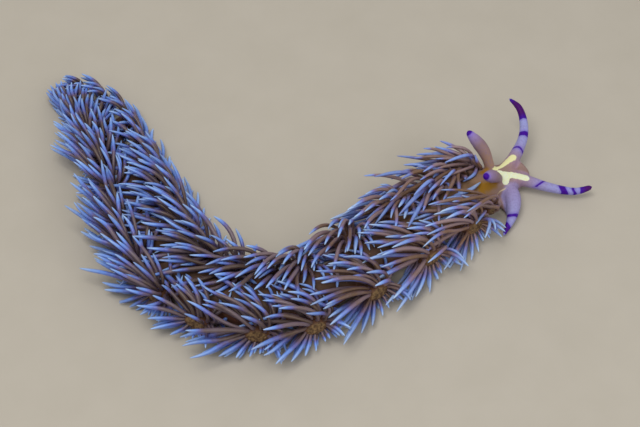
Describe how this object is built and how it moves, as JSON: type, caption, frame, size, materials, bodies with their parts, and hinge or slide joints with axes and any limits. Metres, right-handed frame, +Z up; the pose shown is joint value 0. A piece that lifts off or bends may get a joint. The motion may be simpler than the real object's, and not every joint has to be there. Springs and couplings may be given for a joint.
{
  "type": "blue dragon nudibranch",
  "caption": "Long, slender sea slug crawling in an open bend, with paired fans of blue-tipped cerata down its flanks, banded tentacles and two rhinophores.",
  "frame": {"origin": "on the flat sole under the middle of the body, at the level of the floor", "axes": "+X along the floor towards the head's side of the bend, +Y along the floor towards the tail's side, +Z up"},
  "size_m": [0.0844, 0.0556, 0.0091],
  "materials": {
    "head_skin": "satin, moist",
    "tentacle_skin": "satin, moist",
    "body_and_cerata": "satin, moist"
  },
  "bodies": {
    "root": {"head": "head_skin", "trunk_1": "body_and_cerata", "trunk_2": "body_and_cerata", "trunk_3": "body_and_cerata", "trunk_4": "body_and_cerata", "trunk_5": "body_and_cerata", "tail_1": "body_and_cerata", "tail_2": "body_and_cerata", "oral_tentacle_left_base": "tentacle_skin", "oral_tentacle_left_tip": "tentacle_skin", "oral_tentacle_right_base": "tentacle_skin", "oral_tentacle_right_tip": "tentacle_skin", "rhinophore_left": "tentacle_skin", "rhinophore_right": "tentacle_skin", "foot_tentacle_left": "tentacle_skin", "foot_tentacle_right": "tentacle_skin"}
  },
  "joints": []
}
